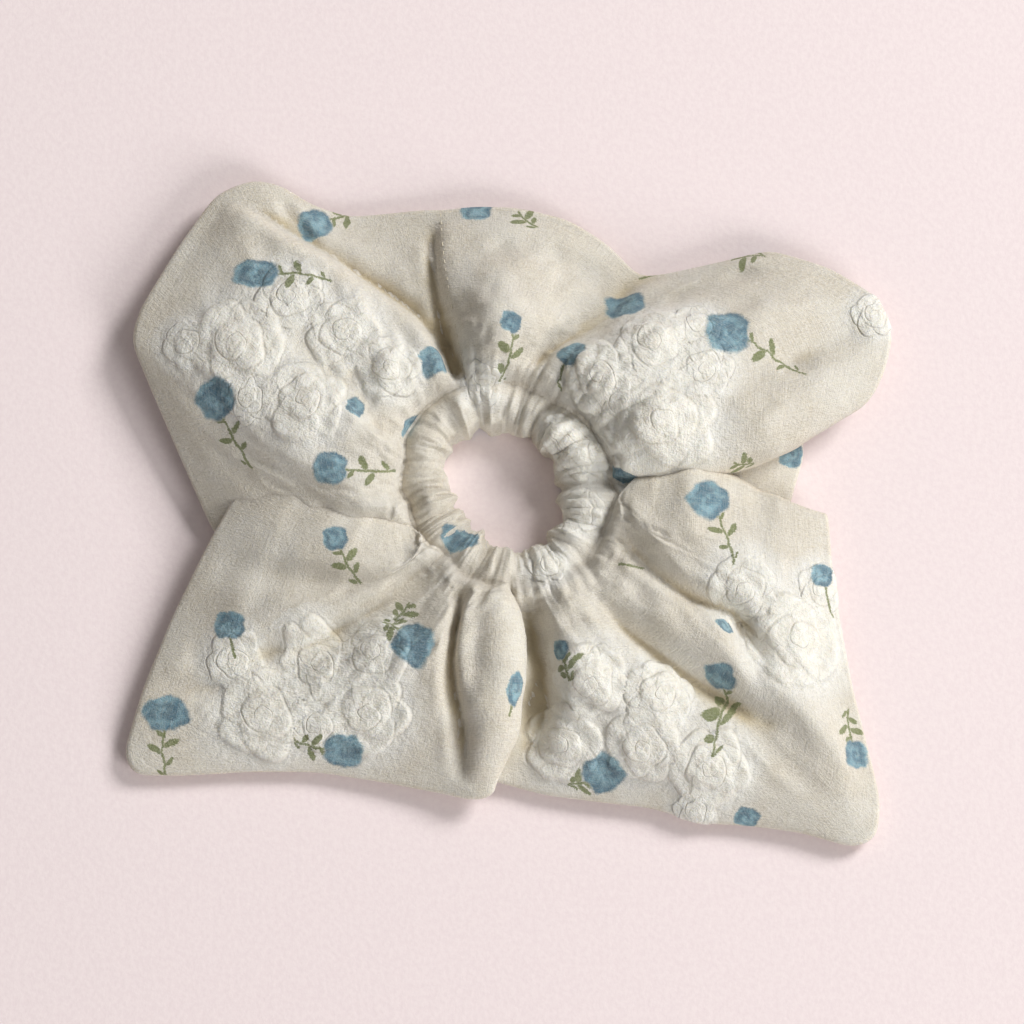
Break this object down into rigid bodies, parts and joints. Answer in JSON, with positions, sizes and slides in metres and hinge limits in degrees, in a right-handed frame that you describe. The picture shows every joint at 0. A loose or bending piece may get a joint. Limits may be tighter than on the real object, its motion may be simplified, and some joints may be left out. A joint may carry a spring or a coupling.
{
  "type": "scrunchie",
  "caption": "Oversized hair scrunchie: a cloth sleeve with a loose two-layer ruffle, gathered in a stitched casing round a loop of flat elastic.",
  "frame": {"origin": "middle of the hair opening, half way up its gathered wall; the scrunchie lies on the plane z = -0.0045 m", "axes": "+Z along the hair opening's axis, up from the surface that the scrunchie lies on; +X the way the scrunchie stretches, which is also its longest extent; +Y completes the frame, towards the side of the ruffle with the closing stitches"},
  "size_m": [0.2004, 0.1741, 0.0229],
  "materials": {
    "printed_cloth": "matte",
    "elastic_braid": "matte",
    "sewing_thread": "satin"
  },
  "bodies": {
    "left_side": {"ruffle_left": "printed_cloth", "casing_left": "printed_cloth", "elastic_band": "elastic_braid", "elastic_join_stitches": "sewing_thread", "casing_stitches": "sewing_thread", "long_seam_thread": "sewing_thread", "closing_stitches": "sewing_thread"},
    "right_side": {"ruffle_right": "printed_cloth", "casing_right": "printed_cloth"}
  },
  "joints": [
    {"name": "stretch", "type": "slide", "parent": "left_side", "child": "right_side", "axis": [1, 0, 0], "range_m": [0, 0.06], "stiffness_N_per_m": 100, "deforming": ["elastic_band", "casing_stitches", "long_seam_thread"]}
  ]
}
